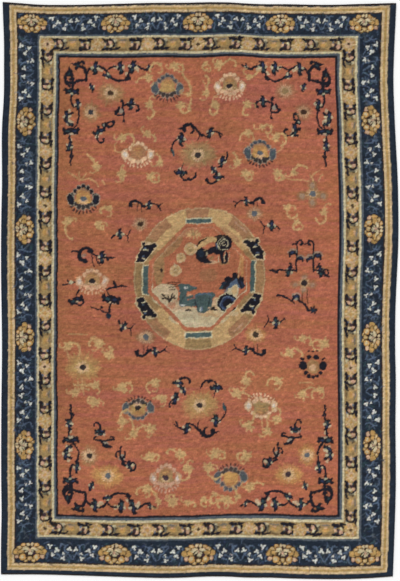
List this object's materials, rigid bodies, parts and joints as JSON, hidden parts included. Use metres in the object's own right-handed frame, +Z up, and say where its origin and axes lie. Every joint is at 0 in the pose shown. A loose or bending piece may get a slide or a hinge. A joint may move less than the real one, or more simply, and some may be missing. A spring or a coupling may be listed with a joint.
{
  "type": "chinese rug",
  "caption": "Hand-knotted wool pile rug, long rectangle lying flat, with wrapped side edges and wrapped ends.",
  "frame": {"origin": "on the floor under the middle of the rug's outline box", "axes": "+X to the rug's right side, +Y to its top end, +Z up through the pile"},
  "size_m": [1.844, 2.6769, 0.0096],
  "materials": {
    "pile_wool": "short cut wool pile, matt, knotted in about fifteen colours",
    "selvedge_wool": "overcast navy wool, matt",
    "end_wool": "overcast dark brown wool, matt"
  },
  "bodies": {
    "root": {"rug_pile": "pile_wool", "selvedge_left": "selvedge_wool", "selvedge_right": "selvedge_wool", "end_binding_top": "end_wool", "end_binding_bottom": "end_wool"}
  },
  "joints": []
}
